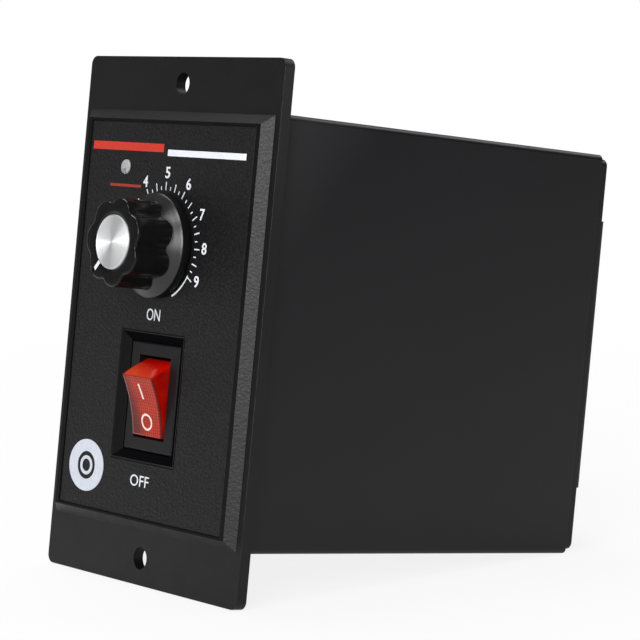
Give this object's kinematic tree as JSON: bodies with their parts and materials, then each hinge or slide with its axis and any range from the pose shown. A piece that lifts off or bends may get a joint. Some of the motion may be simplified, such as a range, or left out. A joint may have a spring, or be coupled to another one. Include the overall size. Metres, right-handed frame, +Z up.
{
  "type": "dc motor speed controller",
  "caption": "Panel-mounted motor speed controller: flanged front with a fluted dial knob, indicator lamp and lit rocker switch, on a deep box housing with rear screw terminals.",
  "frame": {"origin": "centre of the two fixing holes, on the flange's back face", "axes": "+Y to the rear along the housing, +Z up along the line of the fixing holes, +X to the right seen from the front"},
  "size_m": [0.066, 0.1184, 0.108],
  "materials": {
    "panel_plastic": "satin moulded",
    "housing_plastic": "fine satin",
    "cover_plastic": "satin moulded",
    "label_sheet": "grained sheet",
    "knob_bakelite": "polished",
    "spun_aluminium": "spun",
    "brass_part": "turned",
    "bright_steel": "zinc plated",
    "dark_steel": "blackened",
    "switch_plastic": "satin moulded",
    "red_lens": "translucent",
    "clear_lens": "clear",
    "nylon_part": "moulded",
    "black_nylon": "moulded",
    "neon_glass": "clear",
    "phenolic": "sheet",
    "board_laminate": "solder mask",
    "lead_insulation": "flexible",
    "block_plastic": "moulded",
    "sink_aluminium": "extruded",
    "epoxy_black": "moulded",
    "sleeve_blue": "shrunk sleeve",
    "film_yellow": "moulded",
    "fuse_glass": "clear",
    "resistor_body": "lacquered"
  },
  "bodies": {
    "case": {"front_panel": "panel_plastic", "front_label": "label_sheet", "housing": "housing_plastic", "rear_cover": "cover_plastic", "panel_screws": "bright_steel", "cover_screws": "dark_steel", "pot_bush": "bright_steel", "pot_nut": "bright_steel", "pot_washer": "bright_steel", "pot_wafer": "phenolic", "pot_terminals": "bright_steel", "pot_can": "bright_steel", "lamp": "clear_lens", "lamp_legs": "bright_steel", "lamp_collar": "black_nylon", "switch_body": "switch_plastic", "switch_terminals": "brass_part", "circuit_board": "board_laminate", "lead_socket": "nylon_part", "leads": "lead_insulation", "terminal_block": "block_plastic", "terminal_contacts": "brass_part", "terminal_screws": "bright_steel", "heat_sink": "sink_aluminium", "thyristors": "epoxy_black", "thyristor_screws": "bright_steel", "bridge_rectifier": "epoxy_black", "reservoir_capacitor": "sleeve_blue", "film_capacitor": "film_yellow", "fuse": "fuse_glass", "fuse_clips": "brass_part", "control_chip": "epoxy_black", "resistors": "resistor_body"},
    "speed_control": {"knob": "knob_bakelite", "knob_cap": "spun_aluminium", "knob_insert": "brass_part", "knob_set_screw": "bright_steel", "pot_shaft": "bright_steel", "pot_circlip": "bright_steel", "pot_wiper": "nylon_part"},
    "power_rocker": {"rocker": "red_lens", "neon_lamp": "neon_glass", "plunger": "nylon_part", "plunger_spring": "bright_steel"},
    "contact_seesaw": {"contact_blade": "brass_part"}
  },
  "joints": [
    {"name": "knob_turn", "type": "hinge", "parent": "case", "child": "speed_control", "pos_m": [0, -0.0045, 0.0153], "axis": [0, 1, 0], "range_deg": [-12, 288]},
    {"name": "rocker_tip", "type": "hinge", "parent": "case", "child": "power_rocker", "pos_m": [0, 0.00015, -0.0156], "axis": [-1, 0, 0], "range_deg": [0, 36]},
    {"name": "blade_tip", "type": "hinge", "parent": "case", "child": "contact_seesaw", "pos_m": [0, 0.0068, -0.0156], "axis": [-1, 0, 0], "range_deg": [-14, 0]}
  ],
  "couplings": [
    {"joint": "blade_tip", "follows": "rocker_tip", "ratio": -0.3888}
  ]
}
